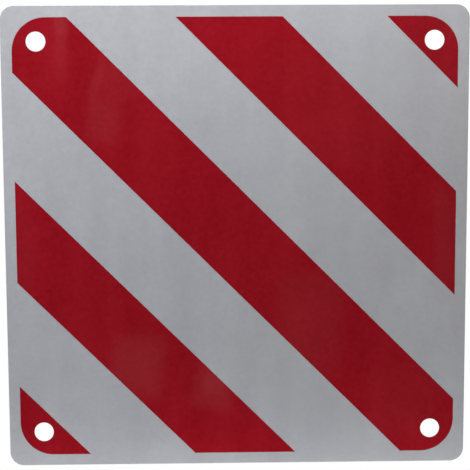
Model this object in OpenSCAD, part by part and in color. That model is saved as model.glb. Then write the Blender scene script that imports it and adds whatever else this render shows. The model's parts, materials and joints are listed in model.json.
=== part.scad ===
// Rear warning sign for a load or a rack that overhangs the back of a vehicle.
// A flat square aluminium blank is faced with reflective film, red fields lie on
// the film, and a hole in each corner goes through all the layers.
// Sizes are in millimetres. Seen from the front, X is right and Z is up, and the
// front faces -Y. The origin is on the blank's back face, midway between the holes.

/* [Aluminium blank] */
// Side of the square
plate_side = 500; // [400:10:800]
// Thickness of the sheet
plate_t = 1; // [0.8:0.1:3]
// Radius of the blank's corners, which the film follows
plate_corner_r = 15; // [5:1:35]

/* [Fixing holes] */
// Diameter of each hole
hole_d = 21; // [8:0.5:25]
// Distance from a hole's centre to each of the two edges beside it
hole_inset = 37.5; // [33:0.5:44]

/* [Reflective film] */
// Thickness of the film with its adhesive
film_t = 0.2; // [0.1:0.05:0.5]

/* [Red fields] */
// Thickness of the red layer on the film
red_t = 0.1; // [0.05:0.05:0.3]
// Width of the bare border round the red fields
border_w = 12; // [4:1:17]
// Radius at the corners of the square that the red fields fill
field_corner_r = 36; // [10:1:48]
// Width of the stripe that runs from corner to corner
centre_stripe_w = 82.5; // [40:0.5:150]
// Bare width between that stripe and the stripe on each side of it
stripe_gap = 82; // [40:0.5:110]
// Width of the stripe above the centre one
upper_stripe_w = 80.5; // [40:0.5:110]
// Width of the stripe below the centre one
lower_stripe_w = 78; // [40:0.5:110]
// Width of red left between a corner patch's hole and the patch's slanted edge
patch_margin = 7.5; // [3:0.5:40]

/* [Hidden] */
$fn = 96;

// Half the distance between the holes, along X and along Z
hole_offset = plate_side / 2 - hole_inset;
// Side of the square that the red fields fill
field_side = plate_side - 2 * border_w;
// The stripes run down to the right at 45 degrees. Their edges are placed by their
// distance from the sign's centre, measured squarely across the stripes.
stripe_slope = 45;
centre_edge = centre_stripe_w / 2;
next_edge = centre_edge + stripe_gap;
patch_edge = hole_offset * sqrt(2) - hole_d / 2 - patch_margin;
// A length that passes every corner of the blank
beyond = plate_side;

// A square about the centre, with rounded corners
module rounded_square(side, r) {
    square([side, side - 2 * r], center = true);
    square([side - 2 * r, side], center = true);
    for (x = [-1, 1], z = [-1, 1])
        translate([x * (side / 2 - r), z * (side / 2 - r)]) circle(r);
}

// The four fixing holes
module hole_pattern() {
    for (x = [-1, 1], z = [-1, 1])
        translate([x * hole_offset, z * hole_offset]) circle(d = hole_d);
}

// The slanted band between two distances from the centre, positive to the upper right
module band(from, to) {
    rotate(stripe_slope)
        translate([from, -beyond])
            square([to - from, 2 * beyond]);
}

// One layer of the sign, with the holes through it: an outline seen from the front,
// as thick as t, whose back face is this far in front of the blank's back face
module layer(from_back, t) {
    translate([0, -from_back, 0])
        rotate([90, 0, 0])
            linear_extrude(t)
                difference() {
                    children();
                    hole_pattern();
                }
}

// A red field: the part of the rounded square that lies in a slanted band
module red_field(from, to) {
    color("firebrick")
        layer(plate_t + film_t, red_t)
            intersection() {
                rounded_square(field_side, field_corner_r);
                band(from, to);
            }
}

module aluminium_blank() {
    color("silver")
        layer(0, plate_t)
            rounded_square(plate_side, plate_corner_r);
}

// The film is cut with the blank, so it has the same outline and the same holes
module reflective_film() {
    color("darkgray")
        layer(plate_t, film_t)
            rounded_square(plate_side, plate_corner_r);
}

// Runs from the upper left corner to the lower right corner, round a hole at each end
module red_stripe_centre() {
    red_field(-centre_edge, centre_edge);
}

module red_stripe_upper() {
    red_field(next_edge, next_edge + upper_stripe_w);
}

module red_stripe_lower() {
    red_field(-next_edge - lower_stripe_w, -next_edge);
}

// The patches fill the other two corners, each round one hole
module red_patch_upper() {
    red_field(patch_edge, beyond);
}

module red_patch_lower() {
    red_field(-beyond, -patch_edge);
}

aluminium_blank();
reflective_film();
red_stripe_centre();
red_stripe_upper();
red_stripe_lower();
red_patch_upper();
red_patch_lower();
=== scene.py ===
"""Rear warning sign: an aluminium blank faced with silver reflective film, and red fields on the film.

Sizes are in metres. Seen from the front, X is right and Z is up, and the front faces -Y.
The origin is on the blank's back face, midway between the four holes.
"""
import json
import math

import bmesh
import bpy
import numpy as np
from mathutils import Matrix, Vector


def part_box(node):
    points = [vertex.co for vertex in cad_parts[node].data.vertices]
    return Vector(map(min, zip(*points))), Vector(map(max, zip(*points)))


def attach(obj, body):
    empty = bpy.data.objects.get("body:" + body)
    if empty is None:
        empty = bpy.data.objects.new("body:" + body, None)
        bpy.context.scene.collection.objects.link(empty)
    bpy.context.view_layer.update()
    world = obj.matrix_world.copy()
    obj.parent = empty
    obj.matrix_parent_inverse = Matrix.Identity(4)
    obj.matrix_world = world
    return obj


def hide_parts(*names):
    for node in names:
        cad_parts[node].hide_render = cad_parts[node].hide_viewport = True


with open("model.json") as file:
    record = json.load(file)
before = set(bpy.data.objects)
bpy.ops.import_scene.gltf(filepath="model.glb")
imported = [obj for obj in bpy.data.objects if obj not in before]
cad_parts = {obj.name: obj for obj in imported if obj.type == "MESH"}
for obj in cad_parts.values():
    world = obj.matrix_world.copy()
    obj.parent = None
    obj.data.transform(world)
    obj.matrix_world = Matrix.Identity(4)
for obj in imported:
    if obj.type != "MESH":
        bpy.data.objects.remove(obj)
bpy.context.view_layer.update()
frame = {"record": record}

MM = 0.001
SQRT2 = math.sqrt(2)

# Read from the frame: the layers' faces, the square field that the red fills, and the holes
HALF_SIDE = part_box("aluminium_blank")[1].x
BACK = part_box("aluminium_blank")[1].y
FILM_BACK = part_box("reflective_film")[1].y
FILM_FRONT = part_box("reflective_film")[0].y
RED_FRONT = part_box("red_stripe_centre")[0].y
HALF_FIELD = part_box("red_stripe_centre")[1].x
HOLE_SIZES = next(m["dims"] for m in frame["record"]["mounts"] if m["name"] == "corner_holes")
HOLE_OFFSET = HOLE_SIZES["spacing_x_mm"] * MM / 2
HOLE_R = HOLE_SIZES["hole_r_mm"] * MM

# Widths and corners that the frame's boxes don't give
CENTRE_STRIPE_W = 82.5 * MM
UPPER_STRIPE_W = 80.5 * MM
LOWER_STRIPE_W = 78 * MM
PLATE_CORNER_R = 15 * MM
FIELD_CORNER_R = 36 * MM

# Edges: the shears roll the film over at the front and leave the blank a soft edge at the back,
# and the red layer's edge is hardly round
FILM_ROLL = 0.08 * MM
BLANK_ROLL = 0.15 * MM
RED_ROLL = 0.04 * MM
ROLL_STEPS = 4

# Into how many steps each stretch of a surface is divided
HOLE_RINGS = 6
HOLE_SQUARE_STEPS = 24
PLATE_EDGE_STEPS = 20
PLATE_CORNER_STEPS = 16
PLATE_MIDDLE_STEPS = 18
FIELD_CORNER_STEPS = 24
CENTRE_ACROSS_STEPS = 24
CENTRE_ALONG_STEPS = 35
CENTRE_CAP_SIDE_STEPS = 12
CENTRE_CAP_END_STEPS = 8
SIDE_ACROSS_STEPS = 16
SIDE_ALONG_STEPS = 40
PATCH_SLANT_STEPS = 40
PATCH_SIDE_STEPS = 12
BOARD_STEPS = 12

# Points closer than this are joined when a piece is closed
WELD = 0.001 * MM
# Faces that meet at a steeper angle than this meet in a crisp edge
SHARP = math.radians(40)

# Sockets of a Mix node by number, because their names repeat for each kind of value
FACTOR = 0
FIRST_NUMBER = 2
SECOND_NUMBER = 3
FIRST_COLOUR = 6
SECOND_COLOUR = 7
MIXED_COLOUR = 2


def crossings(centre, start, end, steps):
    """Points of a straight edge where rays at even angles round centre cross it.

    With the foot of the perpendicular from centre at distance h, the ray at angle a from it
    crosses the edge at h tan(a) from the foot.
    """
    centre, start, end = (np.asarray(p, float) for p in (centre, start, end))
    along = (end - start) / np.linalg.norm(end - start)
    foot = start + along * np.dot(centre - start, along)
    height = np.linalg.norm(foot - centre)
    first, last = (math.atan2(np.dot(p - foot, along), height) for p in (start, end))
    return foot + height * np.tan(np.linspace(first, last, steps + 1))[:, None] * along


def arc(centre, radius, first, last, steps):
    """Points of a circle at even angles, from first to last in degrees."""
    angle = np.radians(np.linspace(first, last, steps + 1))
    return np.asarray(centre) + radius * np.stack([np.cos(angle), np.sin(angle)], axis=-1)


def joined(*stretches):
    """One line from stretches laid end to end, each starting where the last one ends."""
    return np.concatenate([stretches[0]] + [s[1:] for s in stretches[1:]])


def crossed(first, second):
    """The grid of points with first's numbers down its rows and second's along its columns."""
    return np.stack(np.meshgrid(first, second, indexing="ij"), axis=-1)


def round_hole(centre, radius, outline):
    """The flat surface between a hole and the outline round it, in rings.

    Each point lies on the ray from the hole's centre to a point of the outline, an even share
    of the way from the hole's edge to the outline.
    """
    ray = outline - np.asarray(centre)
    rim = centre + ray * (radius / np.linalg.norm(ray, axis=-1, keepdims=True))
    share = np.linspace(0, 1, HOLE_RINGS + 1)[:, None, None]
    return rim + (outline - rim) * share


def quarter_turned(points, turns):
    """Points turned about the sign's centre by that many quarter turns."""
    for _ in range(turns):
        points = np.stack([-points[..., 1], points[..., 0]], axis=-1)
    return points


def unslanted(points):
    """Turns places given across and along the stripes to X and Z.

    Across runs up to the right and along runs down to the right, both at 45 degrees, so X is
    their sum and Z their difference, over the square root of two.
    """
    return points @ np.array([[1, 1], [1, -1]]) / SQRT2


def plate_face(inset, hole_inset):
    """The whole square with its round corners, as grids, and its rims: the outline and four holes.

    A square round each hole, as wide as the hole lies from the edge on every side, is rings from
    the hole to the square. Strips join these squares, and one grid fills the middle.
    """
    hole = (HOLE_OFFSET, HOLE_OFFSET)
    start = 2 * HOLE_OFFSET - HALF_SIDE
    edge = HALF_SIDE - inset
    bend = HALF_SIDE - PLATE_CORNER_R
    below = crossings(hole, (start, start), (edge, start), HOLE_SQUARE_STEPS)
    right = crossings(hole, (edge, start), (edge, bend), PLATE_EDGE_STEPS)
    corner = arc((bend, bend), PLATE_CORNER_R - inset, 0, 90, PLATE_CORNER_STEPS)
    top = crossings(hole, (bend, edge), (start, edge), PLATE_EDGE_STEPS)
    left = crossings(hole, (start, edge), (start, start), HOLE_SQUARE_STEPS)
    rings = round_hole(hole, HOLE_R + hole_inset, joined(below, right, corner, top, left))
    spread = np.linspace(start, -start, PLATE_MIDDLE_STEPS + 1)
    strip = crossed(spread, left[:, 1])
    outline = joined(right, corner, top, strip[:, 0])
    turns = range(4)
    grids = [crossed(spread, spread)] + [quarter_turned(g, k) for g in (rings, strip) for k in turns]
    rims = [joined(*[quarter_turned(outline, k) for k in turns])]
    rims += [quarter_turned(rings[0], k) for k in turns]
    return grids, rims


def centre_stripe_face(inset, hole_inset):
    """The stripe from corner to corner: rings round the hole at each end and a grid between them."""
    half = CENTRE_STRIPE_W / 2 - inset
    hole = (0, -HOLE_OFFSET * SQRT2)
    cut = hole[1] + CENTRE_STRIPE_W / 2
    end = half - (HALF_FIELD - inset) * SQRT2
    bend = (0, (FIELD_CORNER_R - HALF_FIELD) * SQRT2)
    corner = arc(bend, FIELD_CORNER_R - inset, -45, -135, FIELD_CORNER_STEPS)
    across = crossings(hole, (-half, cut), (half, cut), CENTRE_ACROSS_STEPS)
    cap = joined(
        crossings(hole, (half, cut), (half, end), CENTRE_CAP_SIDE_STEPS),
        crossings(hole, (half, end), corner[0], CENTRE_CAP_END_STEPS),
        corner,
        crossings(hole, corner[-1], (-half, end), CENTRE_CAP_END_STEPS),
        crossings(hole, (-half, end), (-half, cut), CENTRE_CAP_SIDE_STEPS),
    )
    rings = round_hole(hole, HOLE_R + hole_inset, joined(across, cap))
    middle = crossed(across[:, 0], np.linspace(cut, -cut, CENTRE_ALONG_STEPS + 1))
    rims = [joined(cap, middle[0], -cap, -middle[0]), rings[0], -rings[0]]
    return [unslanted(g) for g in (rings, -rings, middle)], [unslanted(r) for r in rims]


def side_stripe_face(near, width, side):
    """A stripe that ends square to X and Z at the field's edges: a ruled grid, as a function of insets.

    At a distance from the sign's centre, the field reaches as far along the stripe as the
    distance to the field's corner less that distance.
    """
    def face(inset, hole_inset):
        across = np.linspace(near + inset, near + width - inset, SIDE_ACROSS_STEPS + 1)[:, None]
        reach = (HALF_FIELD - inset) * SQRT2 - across
        along = reach * np.linspace(-1, 1, SIDE_ALONG_STEPS + 1)
        grid = side * np.stack([across + 0 * along, along], axis=-1)
        rim = joined(grid[0], grid[:, -1], grid[-1, ::-1], grid[::-1, 0])
        return [unslanted(grid)], [unslanted(rim)]
    return face


def patch_face(near, side):
    """A corner patch, as a function of insets.

    Rings run from its hole to its slanted edge and the field's round corner.
    """
    def face(inset, hole_inset):
        hole = (HOLE_OFFSET * SQRT2, 0)
        edge = near + inset
        reach = (HALF_FIELD - inset) * SQRT2 - edge
        bend = ((HALF_FIELD - FIELD_CORNER_R) * SQRT2, 0)
        corner = arc(bend, FIELD_CORNER_R - inset, 45, -45, FIELD_CORNER_STEPS)
        outline = joined(
            crossings(hole, (edge, -reach), (edge, reach), PATCH_SLANT_STEPS),
            crossings(hole, (edge, reach), corner[0], PATCH_SIDE_STEPS),
            corner,
            crossings(hole, corner[-1], (edge, -reach), PATCH_SIDE_STEPS),
        )
        rings = side * round_hole(hole, HOLE_R + hole_inset, outline)
        return [unslanted(rings)], [unslanted(rings[-1]), unslanted(rings[0])]
    return face


def section(front, back, front_roll, back_roll):
    """The edge's section from the front face to the back face: how far in and how deep each point is.

    A rolled edge is a quarter circle, at even angles: in by r (1 - sin a), deep by r (1 - cos a).
    """
    points = []
    for face, inwards, roll in ((front, 1, front_roll), (back, -1, back_roll)):
        angle = np.linspace(0, math.pi / 2, ROLL_STEPS + 1 if roll else 1)
        inset = roll * (1 - np.sin(angle))
        depth = face + inwards * roll * (1 - np.cos(angle))
        points.append(np.stack([inset, depth], axis=-1)[::inwards])
    return np.concatenate(points)


def upright(points, depth):
    """Points of the sign's plane, at that depth along Y."""
    return np.stack([points[..., 0], np.zeros(points.shape[:-1]) + depth, points[..., 1]], axis=-1)


def layer_surfaces(face, front, back, front_roll=0, back_roll=0, rolled_holes=True):
    """The front, the back and the walls of one layer, each a grid of points.

    The edge's section is carried round the outline and round each hole. Holes that aren't rolled
    keep their width from face to face.
    """
    hole_share = 1 if rolled_holes else 0
    flats = []
    for depth, roll in ((front, front_roll), (back, back_roll)):
        flats += [upright(grid, depth) for grid in face(roll, roll * hole_share)[0]]
    loops = []
    for inset, depth in section(front, back, front_roll, back_roll):
        loops.append([upright(rim, depth) for rim in face(inset, inset * hole_share)[1]])
    walls = [np.stack(wall) for wall in zip(*loops)]
    return flats, walls


def quads(grid, first):
    """The four corners of each face of a grid whose points are numbered row by row from first."""
    rows, columns = grid.shape[:2]
    corner = first + np.arange(rows - 1)[:, None] * columns + np.arange(columns - 1)
    return np.stack([corner, corner + 1, corner + columns + 1, corner + columns], axis=-1).reshape(-1, 4)


def closed_piece(name, flats, walls, finish, wall_finish=None):
    """One closed mesh of flat faces and smooth walls, with what meets joined and faces turned outwards."""
    points, faces, smooth, count = [], [], [], 0
    for grid, is_wall in [(g, False) for g in flats] + [(g, True) for g in walls]:
        found = quads(grid, count)
        points.append(grid.reshape(-1, 3))
        faces.append(found)
        smooth.append(np.full(len(found), is_wall))
        count += grid.shape[0] * grid.shape[1]
    mesh = bpy.data.meshes.new(name)
    mesh.from_pydata(np.concatenate(points), [], np.concatenate(faces))
    smooth = np.concatenate(smooth)
    mesh.polygons.foreach_set("use_smooth", smooth)
    mesh.materials.append(finish)
    if wall_finish:
        mesh.materials.append(wall_finish)
        mesh.polygons.foreach_set("material_index", smooth.astype(np.int32))
    shell = bmesh.new()
    shell.from_mesh(mesh)
    bmesh.ops.remove_doubles(shell, verts=shell.verts, dist=WELD)
    bmesh.ops.recalc_face_normals(shell, faces=shell.faces)
    shell.to_mesh(mesh)
    shell.free()
    # Marking the sharp edges makes all faces smooth, so the flat ones are made flat again after it
    mesh.polygons.foreach_get("use_smooth", smooth)
    mesh.set_sharp_from_angle(angle=SHARP)
    mesh.polygons.foreach_set("use_smooth", smooth)
    piece = bpy.data.objects.new(name, mesh)
    bpy.context.scene.collection.objects.link(piece)
    return piece


def linear(code):
    """An sRGB hex colour as linear red, green, blue and alpha."""
    shares = np.array([int(code[k:k + 2], 16) / 255 for k in (1, 3, 5)])
    curve = np.where(shares <= 0.04045, shares / 12.92, ((shares + 0.055) / 1.055) ** 2.4)
    return (*curve.tolist(), 1.0)


def add(tree, kind, values=None, links=None, **settings):
    """Adds a node to a tree.

    Values set its sockets and links feed them, each by a socket's name or number, and settings
    are the node's own options.
    """
    made = tree.nodes.new(kind)
    for name, value in settings.items():
        setattr(made, name, value)
    for name, value in (values or {}).items():
        made.inputs[name].default_value = value
    for name, output in (links or {}).items():
        tree.links.new(output, made.inputs[name])
    return made


def new_material(name):
    """An empty material, its node tree, and the place on the piece that its patterns read."""
    material = bpy.data.materials.new(name)
    material.use_nodes = True
    tree = material.node_tree
    tree.nodes.clear()
    return material, tree, add(tree, "ShaderNodeTexCoord").outputs["Object"]


def bead_film(name, dark, light, metal_share, mottle):
    """Enclosed glass-bead reflective film, cast in layers and rolled on.

    Beads of 0.05 mm on a metal coat lie in clear resin under a smooth clear top. To the eye that
    is a soft, faintly metallic body with a fine grain, under a clear gloss of its own. The grain
    is drawn as a mottle from 5 mm down to 0.3 mm, because beads of the real size would be lost
    in the render. The mottle's share of the tone is given, against broad streaks and clouds.
    """
    grain_size = 5 * MM
    grain_height = 0.03 * MM
    # The film runs upwards through its coating line, which leaves broad faint streaks
    streak_width = 36 * MM
    streak_stretch = (1, 1, 0.2)
    cloud_size = 45 * MM
    # The sheet under the film is never quite flat
    wave_length = 90 * MM
    wave_height = 0.25 * MM
    material, tree, place = new_material(name)
    grain = add(
        tree,
        "ShaderNodeTexNoise",
        {"Scale": 1 / grain_size, "Detail": 4.0, "Roughness": 0.8},
        {"Vector": place},
    )
    run = add(tree, "ShaderNodeMapping", {"Scale": streak_stretch}, {"Vector": place})
    streaks = add(
        tree,
        "ShaderNodeTexNoise",
        {"Scale": 1 / streak_width, "Detail": 1.0},
        {"Vector": run.outputs[0]},
    )
    clouds = add(
        tree,
        "ShaderNodeTexNoise",
        {"Scale": 1 / cloud_size, "Detail": 6.0, "Roughness": 0.65},
        {"Vector": place},
    )
    coarse = add(
        tree,
        "ShaderNodeMix",
        {FACTOR: 0.5},
        {FIRST_NUMBER: streaks.outputs[0], SECOND_NUMBER: clouds.outputs[0]},
    )
    blend = add(
        tree,
        "ShaderNodeMix",
        {FACTOR: mottle},
        {FIRST_NUMBER: coarse.outputs[0], SECOND_NUMBER: grain.outputs[0]},
    )
    tone = add(tree, "ShaderNodeMapRange", {"From Min": 0.38, "From Max": 0.62}, {"Value": blend.outputs[0]})
    colour = add(
        tree,
        "ShaderNodeMix",
        {FIRST_COLOUR: linear(dark), SECOND_COLOUR: linear(light)},
        {FACTOR: tone.outputs[0]},
        data_type="RGBA",
    )
    rough = add(
        tree,
        "ShaderNodeMapRange",
        {"From Min": 0.3, "From Max": 0.7, "To Min": 0.42, "To Max": 0.56},
        {"Value": grain.outputs[0]},
    )
    beads = add(
        tree,
        "ShaderNodeBump",
        {"Strength": 0.5, "Distance": grain_height},
        {"Height": grain.outputs[0]},
    )
    waves = add(tree, "ShaderNodeTexNoise", {"Scale": 1 / wave_length, "Detail": 1.0}, {"Vector": place})
    ripple = add(
        tree,
        "ShaderNodeBump",
        {"Strength": 1.0, "Distance": wave_height},
        {"Height": waves.outputs[0]},
    )
    body = add(
        tree,
        "ShaderNodeBsdfPrincipled",
        {
            "Metallic": metal_share,
            "Specular IOR Level": 0.0,
            "Coat Weight": 1.0,
            "Coat Roughness": 0.04,
            "Coat IOR": 1.49,
        },
        {
            "Base Color": colour.outputs[MIXED_COLOUR],
            "Roughness": rough.outputs[0],
            "Normal": beads.outputs[0],
            "Coat Normal": ripple.outputs[0],
        },
    )
    add(tree, "ShaderNodeOutputMaterial", None, {"Surface": body.outputs[0]})
    return material


def mill_aluminium():
    """Mill-finish aluminium sheet, cold rolled.

    The rolls leave fine lines along the sheet, so it shines softly, with highlights spread across
    the lines, and handling leaves faint dull clouds. The lines are drawn 0.8 mm apart, because the
    real ones, at under 0.1 mm, would be lost in the render.
    """
    line_gap = 0.8 * MM
    line_depth = 0.02 * MM
    # The pattern hardly changes upwards, so its grains are drawn out into lines, and it is raised
    # so that the sheet's whole height lies within one of its cells
    line_stretch = (1, 1, 0.0012)
    line_shift = (0, 0, 0.3 * MM)
    cloud_size = 120 * MM
    material, tree, place = new_material("mill_finish_aluminium")
    rolled = add(
        tree,
        "ShaderNodeMapping",
        {"Location": line_shift, "Scale": line_stretch},
        {"Vector": place},
    )
    lines = add(
        tree,
        "ShaderNodeTexNoise",
        {"Scale": 1 / line_gap, "Detail": 3.0},
        {"Vector": rolled.outputs[0]},
    )
    clouds = add(tree, "ShaderNodeTexNoise", {"Scale": 1 / cloud_size, "Detail": 5.0}, {"Vector": place})
    blend = add(
        tree,
        "ShaderNodeMix",
        {FACTOR: 0.35},
        {FIRST_NUMBER: lines.outputs[0], SECOND_NUMBER: clouds.outputs[0]},
    )
    tone = add(tree, "ShaderNodeMapRange", {"From Min": 0.3, "From Max": 0.7}, {"Value": blend.outputs[0]})
    colour = add(
        tree,
        "ShaderNodeMix",
        {FIRST_COLOUR: linear("#B4B6B9"), SECOND_COLOUR: linear("#C3C5C7")},
        {FACTOR: tone.outputs[0]},
        data_type="RGBA",
    )
    rough = add(
        tree,
        "ShaderNodeMapRange",
        {"From Min": 0.3, "From Max": 0.7, "To Min": 0.28, "To Max": 0.4},
        {"Value": blend.outputs[0]},
    )
    bump = add(
        tree,
        "ShaderNodeBump",
        {"Strength": 0.4, "Distance": line_depth},
        {"Height": lines.outputs[0]},
    )
    body = add(
        tree,
        "ShaderNodeBsdfPrincipled",
        {"Metallic": 1.0},
        {
            "Base Color": colour.outputs[MIXED_COLOUR],
            "Roughness": rough.outputs[0],
            "Normal": bump.outputs[0],
        },
    )
    add(tree, "ShaderNodeOutputMaterial", None, {"Surface": body.outputs[0]})
    return material


def sheared_aluminium():
    """Aluminium sheared and punched: the cut is bright where the tool slid and grey where it tore."""
    tear_size = 0.7 * MM
    tear_depth = 0.05 * MM
    material, tree, place = new_material("sheared_aluminium")
    torn = add(tree, "ShaderNodeTexNoise", {"Scale": 1 / tear_size, "Detail": 3.0}, {"Vector": place})
    colour = add(
        tree,
        "ShaderNodeMix",
        {FIRST_COLOUR: linear("#A9ABAE"), SECOND_COLOUR: linear("#D8D9DB")},
        {FACTOR: torn.outputs[0]},
        data_type="RGBA",
    )
    rough = add(tree, "ShaderNodeMapRange", {"To Min": 0.3, "To Max": 0.6}, {"Value": torn.outputs[0]})
    bump = add(
        tree,
        "ShaderNodeBump",
        {"Strength": 0.5, "Distance": tear_depth},
        {"Height": torn.outputs[0]},
    )
    body = add(
        tree,
        "ShaderNodeBsdfPrincipled",
        {"Metallic": 1.0},
        {
            "Base Color": colour.outputs[MIXED_COLOUR],
            "Roughness": rough.outputs[0],
            "Normal": bump.outputs[0],
        },
    )
    add(tree, "ShaderNodeOutputMaterial", None, {"Surface": body.outputs[0]})
    return material


SILVER_FILM = bead_film("silver_bead_film", "#99999E", "#A2A3A7", metal_share=0.3, mottle=0.42)
RED_LAYER = bead_film("red_overlay_on_bead_film", "#770B15", "#83131D", metal_share=0.1, mottle=0.47)
ALUMINIUM = mill_aluminium()
CUT_ALUMINIUM = sheared_aluminium()


def near_edge(node, side):
    """How far from the sign's centre a slanted field starts, from the innermost corner of its box."""
    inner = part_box(node)[0].x if side > 0 else -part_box(node)[1].x
    return (inner + HALF_FIELD) / SQRT2


def place_piece(piece, node):
    """The piece stands for a node of the frame, where that node is."""
    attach(piece, "root")
    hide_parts(node)


blank = closed_piece(
    "sheet_blank",
    *layer_surfaces(plate_face, FILM_BACK, BACK, back_roll=BLANK_ROLL),
    ALUMINIUM,
    CUT_ALUMINIUM,
)
place_piece(blank, "aluminium_blank")

film = closed_piece(
    "film_facing",
    *layer_surfaces(plate_face, FILM_FRONT, FILM_BACK, front_roll=FILM_ROLL, rolled_holes=False),
    SILVER_FILM,
)
place_piece(film, "reflective_film")

RED_FACES = {
    "red_stripe_centre": centre_stripe_face,
    "red_stripe_upper": side_stripe_face(near_edge("red_stripe_upper", 1), UPPER_STRIPE_W, 1),
    "red_stripe_lower": side_stripe_face(near_edge("red_stripe_lower", -1), LOWER_STRIPE_W, -1),
    "red_patch_upper": patch_face(near_edge("red_patch_upper", 1), 1),
    "red_patch_lower": patch_face(near_edge("red_patch_lower", -1), -1),
}
for node, face in RED_FACES.items():
    field = closed_piece(
        node + "_layer",
        *layer_surfaces(face, RED_FRONT, FILM_FRONT, front_roll=RED_ROLL),
        RED_LAYER,
    )
    place_piece(field, node)

# The camera stands where the photograph's did: the sign's outline and holes give its place, its
# turn in degrees and its lens
CAMERA_PLACE = (-0.0351, -1.5137, 0.1958)
CAMERA_TURN = (82.774, 0.2707, -1.2992)
LENS_MM = 107.85
SENSOR_MM = 36
# The photograph's width and height in pixels, and the lens in the same pixels
PHOTO_PX = 470
LENS_PX = LENS_MM / SENSOR_MM * PHOTO_PX
camera =bpy.data.cameras.new("camera")
camera.lens = LENS_MM
camera.sensor_width = SENSOR_MM
viewer = bpy.data.objects.new("camera", camera)
viewer.location = CAMERA_PLACE
viewer.rotation_euler = [math.radians(a) for a in CAMERA_TURN]
bpy.context.scene.collection.objects.link(viewer)
bpy.context.scene.camera = viewer

# The studio: a pale floor below the sign, which hangs clear of it
FLOOR_Z = -0.6
FLOOR_HALF = 12
# Up to the first of these distances from below the sign the floor shows its own light and the
# sign's shadow, and from the second on it is as white as the background
NEAR_FLOOR = 0.7
FAR_FLOOR = 1.1
# How much paler than its own light the near floor looks, as a share of white
FLOOR_LIFT = 0.25
# Light that comes evenly from all round
EVEN_LIGHT = 0.25

# A black cloth lies in front of the sign and hangs behind the camera, where only gloss sees it.
# It is solid as far as its core reaches to each side, and thins out from there to its edge.
FLAG_CORE = 0.8
FLAG_HALF = 1.6
FLAG_NEAR = -0.35
FLAG_FAR = -2.7
FLAG_TOP = 0.9
# Just above the floor
FLAG_LOW = FLOOR_Z + 10 * MM

# Boards that glow dimly, though they are no lamps, stand in front of the sign, soft as if out of focus,
# where only its gloss sees them, as glints. Each is given by the soft patch that the photograph shows in
# the gloss: the patch's middle, and its width and height, in pixels. Then come its lean in degrees and
# how bright its middle is.
BOARDS = {
    "upper_left_streak": ((60, 12), (14, 150), 0, 0.16),
    "head_of_streak": ((61, 18), (16, 40), 0, 0.22),
    "slim_leg": ((97, 78), (10, 52), -18, 0.16),
    "beside_leg": ((118, 77), (47, 47), -24, 0.12),
    "below_leg": ((103, 119), (40, 54), -12, 0.16),
    "lower_left": ((137, 368), (56, 76), -5, 0.2),
    "lower_middle": ((214, 388), (46, 56), -10, 0.15),
    "core_of_lower_middle": ((214, 385), (23, 26), 0, 0.15),
    "right_of_middle": ((309, 324), (78, 117), -4, 0.11),
    "upper_right": ((338, 105), (156, 140), 0, 0.05),
    "right_edge": ((446, 238), (28, 130), 0, 0.11),
    "lower_right": ((405, 406), (90, 92), 0, 0.05),
    "left_edge": ((24, 250), (22, 110), 0, 0.06),
    "upper_right_corner": ((432, 45), (78, 83), 0, 0.07),
}
# The first board's place along Y, and how much further out each next one stands
BOARD_Y = -1.2
BOARD_GAP = 1 * MM

# Each lamp: where it hangs, its width and height, its power in watts, its colour, and whether
# gloss shows it. All point at the sign's centre. A soft box hangs over the sign, lit strips stand
# along its four sides, as in a small white tent, and one lamp lights the back.
LAMPS = {
    "soft_box": ((-0.25, -0.65, 0.9), 0.6, 0.4, 16.6, "#FFFFFF", True),
    "strip_top": ((0.15, -0.12, 0.36), 0.4, 0.05, 0.21, "#FFFFFF", False),
    "strip_left": ((-0.42, -0.2, 0.05), 0.06, 0.3, 0.32, "#E4F5FF", False),
    "strip_right": ((0.42, -0.08, 0.1), 0.06, 0.4, 0.09, "#FFDBA0", False),
    "strip_low": ((0, -0.055, -0.34), 0.95, 0.06, 0.99, "#FFFFFF", False),
    "back": ((0.6, 1.6, 1.2), 1.2, 1.2, 10, "#FFFFFF", True),
}


def seen_directly(tree):
    """One where a ray comes straight from the camera, a reflection or a clear body, else nought."""
    path = add(tree, "ShaderNodeLightPath")
    pair = add(
        tree,
        "ShaderNodeMath",
        None,
        {0: path.outputs["Is Camera Ray"], 1: path.outputs["Is Glossy Ray"]},
        operation="MAXIMUM",
    )
    return add(
        tree,
        "ShaderNodeMath",
        None,
        {0: pair.outputs[0], 1: path.outputs["Is Transmission Ray"]},
        operation="MAXIMUM",
    ).outputs[0]


def studio_world():
    """Even light from all round, which looks white wherever it is seen directly."""
    world = bpy.data.worlds.new("studio")
    world.use_nodes = True
    sky = world.node_tree
    sky.nodes.clear()
    room = add(sky, "ShaderNodeBackground", {"Color": linear("#FFFFFF"), "Strength": EVEN_LIGHT})
    white = add(sky, "ShaderNodeBackground", {"Color": linear("#FFFFFF"), "Strength": 1.0})
    shown = add(
        sky,
        "ShaderNodeMixShader",
        None,
        {FACTOR: seen_directly(sky), 1: room.outputs[0], 2: white.outputs[0]},
    )
    add(sky, "ShaderNodeOutputWorld", None, {"Surface": shown.outputs[0]})
    return world


def stage_sheet(name, corners, material):
    """A flat or bent sheet of the studio, from rows of two corners."""
    grid = np.array(corners, float)
    mesh = bpy.data.meshes.new(name)
    mesh.from_pydata(grid.reshape(-1, 3), [], quads(grid, 0))
    mesh.materials.append(material)
    made = bpy.data.objects.new(name, mesh)
    bpy.context.scene.collection.objects.link(made)
    return made


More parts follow.
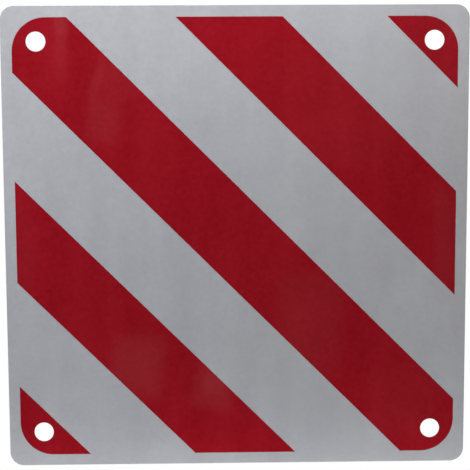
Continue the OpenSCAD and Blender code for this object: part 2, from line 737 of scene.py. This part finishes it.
def white_floor():
    """White paper.

    Near the sign it is pale and takes the sign's shadow, and far off it is as white as the
    background.
    """
    material, tree, place = new_material("white_paper")
    paper = add(tree, "ShaderNodeBsdfDiffuse", {"Color": linear("#E6E6E6")})
    glow = add(tree, "ShaderNodeEmission", {"Color": linear("#FFFFFF"), "Strength": 1.0})
    seen = seen_directly(tree)
    paler = add(tree, "ShaderNodeMath", {1: FLOOR_LIFT}, {0: seen}, operation="MULTIPLY")
    lift = add(tree, "ShaderNodeEmission", {"Color": linear("#FFFFFF")}, {"Strength": paler.outputs[0]})
    near = add(tree, "ShaderNodeAddShader", None, {0: paper.outputs[0], 1: lift.outputs[0]})
    distance = add(tree, "ShaderNodeVectorMath", None, {0: place}, operation="LENGTH")
    far = add(
        tree,
        "ShaderNodeMapRange",
        {"From Min": math.hypot(NEAR_FLOOR, FLOOR_Z), "From Max": math.hypot(FAR_FLOOR, FLOOR_Z)},
        {"Value": distance.outputs["Value"]},
        interpolation_type="SMOOTHSTEP",
    )
    share = add(tree, "ShaderNodeMath", None, {0: far.outputs[0], 1: seen}, operation="MULTIPLY")
    mixed = add(
        tree,
        "ShaderNodeMixShader",
        None,
        {FACTOR: share.outputs[0], 1: near.outputs[0], 2: glow.outputs[0]},
    )
    add(tree, "ShaderNodeOutputMaterial", None, {"Surface": mixed.outputs[0]})
    return material


def black_cloth():
    """Black cloth, which gives no light back and thins out towards its two sides."""
    material, tree, place = new_material("black_cloth")
    cloth = add(tree, "ShaderNodeBsdfDiffuse", {"Color": linear("#050505")})
    clear = add(tree, "ShaderNodeBsdfTransparent")
    across = add(tree, "ShaderNodeSeparateXYZ", None, {0: place})
    aside = add(tree, "ShaderNodeMath", None, {0: across.outputs["X"]}, operation="ABSOLUTE")
    thin = add(
        tree,
        "ShaderNodeMapRange",
        {"From Min": FLAG_CORE, "From Max": FLAG_HALF},
        {"Value": aside.outputs[0]},
        interpolation_type="SMOOTHSTEP",
    )
    mixed = add(
        tree,
        "ShaderNodeMixShader",
        None,
        {FACTOR: thin.outputs[0], 1: cloth.outputs[0], 2: clear.outputs[0]},
    )
    add(tree, "ShaderNodeOutputMaterial", None, {"Surface": mixed.outputs[0]})
    return material


def dim_board():
    """A board that glows though no lamp, soft as if out of focus: bright as its points say, clear where they
    say nought.
    """
    material, tree, _ = new_material("glowing_board")
    glow = add(tree, "ShaderNodeAttribute", attribute_name="glow")
    # The board glows with light of its own, though it is no lamp, and the sign's gloss shows it as a glint
    light = add(tree, "ShaderNodeEmission", None, {"Strength": glow.outputs["Fac"]})
    clear = add(tree, "ShaderNodeBsdfTransparent")
    body = add(tree, "ShaderNodeAddShader", None, {0: light.outputs[0], 1: clear.outputs[0]})
    add(tree, "ShaderNodeOutputMaterial", None, {"Surface": body.outputs[0]})
    material.cycles.emission_sampling = "NONE"
    return material


def mirrored(pixel, pixels_across):
    """The middle and size of a board that the red's gloss mirrors to that pixel, that many across.

    The ray from the camera through the pixel meets the red's face and turns back along Y only, so
    to the side and up it goes on as it came. Both it and the size grow with the whole way along
    Y, from the camera to the face and on to the boards.
    """
    turn = np.array(viewer.rotation_euler.to_matrix())
    ray = turn @ np.array([pixel[0] - PHOTO_PX / 2, PHOTO_PX / 2 - pixel[1], -LENS_PX])
    whole_way = (RED_FRONT - CAMERA_PLACE[1]) + (RED_FRONT - BOARD_Y)
    middle = np.array(CAMERA_PLACE) + ray * whole_way / ray[1]
    return middle[[0, 2]], np.array(pixels_across) * whole_way / LENS_PX


def glowing_boards():
    """One mesh of all the glowing boards, which only the sign's gloss shows, as glints.

    With u and v from -1 to 1 across a board, its brightness is that of its middle times
    (1 - u^4) (1 - v^4).
    """
    spread = np.linspace(-1, 1, BOARD_STEPS + 1)
    share = crossed(spread, spread)
    fade = np.prod(1 - share ** 4, axis=-1)
    points, faces, glow = [], [], []
    for number, (pixel, pixels_across, lean, strength) in enumerate(BOARDS.values()):
        middle, size = mirrored(pixel, pixels_across)
        turn = math.radians(lean)
        turning = np.array([[math.cos(turn), math.sin(turn)], [-math.sin(turn), math.cos(turn)]])
        turned = share * size / 2 @ turning
        board = upright(turned + middle, BOARD_Y - number * BOARD_GAP)
        faces.append(quads(board, number * fade.size))
        points.append(board.reshape(-1, 3))
        glow.append((fade * strength).ravel())
    mesh = bpy.data.meshes.new("glowing_boards")
    mesh.from_pydata(np.concatenate(points), [], np.concatenate(faces))
    mesh.attributes.new("glow", "FLOAT", "POINT").data.foreach_set("value", np.concatenate(glow))
    mesh.materials.append(dim_board())
    boards = bpy.data.objects.new("glowing_boards", mesh)
    bpy.context.scene.collection.objects.link(boards)
    return boards


def hang_lamp(name, place, width, height, power, colour, in_gloss):
    """A lamp with a lit rectangle of that size, pointed at the sign's centre."""
    lamp = bpy.data.lights.new(name, "AREA")
    lamp.shape = "RECTANGLE"
    lamp.size = width
    lamp.size_y = height
    lamp.energy = power
    lamp.color = linear(colour)[:3]
    hung = bpy.data.objects.new(name, lamp)
    x, y, z = place
    hung.location = place
    # A lamp shines down its own -Z, and keeps its width level
    hung.rotation_euler = (math.pi / 2 - math.atan2(z, math.hypot(x, y)), 0, math.atan2(x, -y))
    hung.visible_glossy = in_gloss
    bpy.context.scene.collection.objects.link(hung)


bpy.context.scene.world = studio_world()

stage_sheet(
    "floor",
    [[(x * FLOOR_HALF, y * FLOOR_HALF, FLOOR_Z) for x in (-1, 1)] for y in (-1, 1)],
    white_floor(),
)

flag = stage_sheet(
    "black_flag",
    [
        [(x * FLAG_HALF, y, z) for x in (-1, 1)]
        for y, z in ((FLAG_NEAR, FLAG_LOW), (FLAG_FAR, FLAG_LOW), (FLAG_FAR, FLAG_TOP))
    ],
    black_cloth(),
)
flag.visible_camera = False
flag.visible_diffuse = False
flag.visible_shadow = False

# The glowing boards light nothing and are seen only as glints in the sign's gloss
boards = glowing_boards()
boards.visible_camera = False
boards.visible_diffuse = False
boards.visible_transmission = False
boards.visible_shadow = False

for name, lamp_facts in LAMPS.items():
    hang_lamp(name, *lamp_facts)

bpy.context.scene.view_settings.view_transform = "Standard"
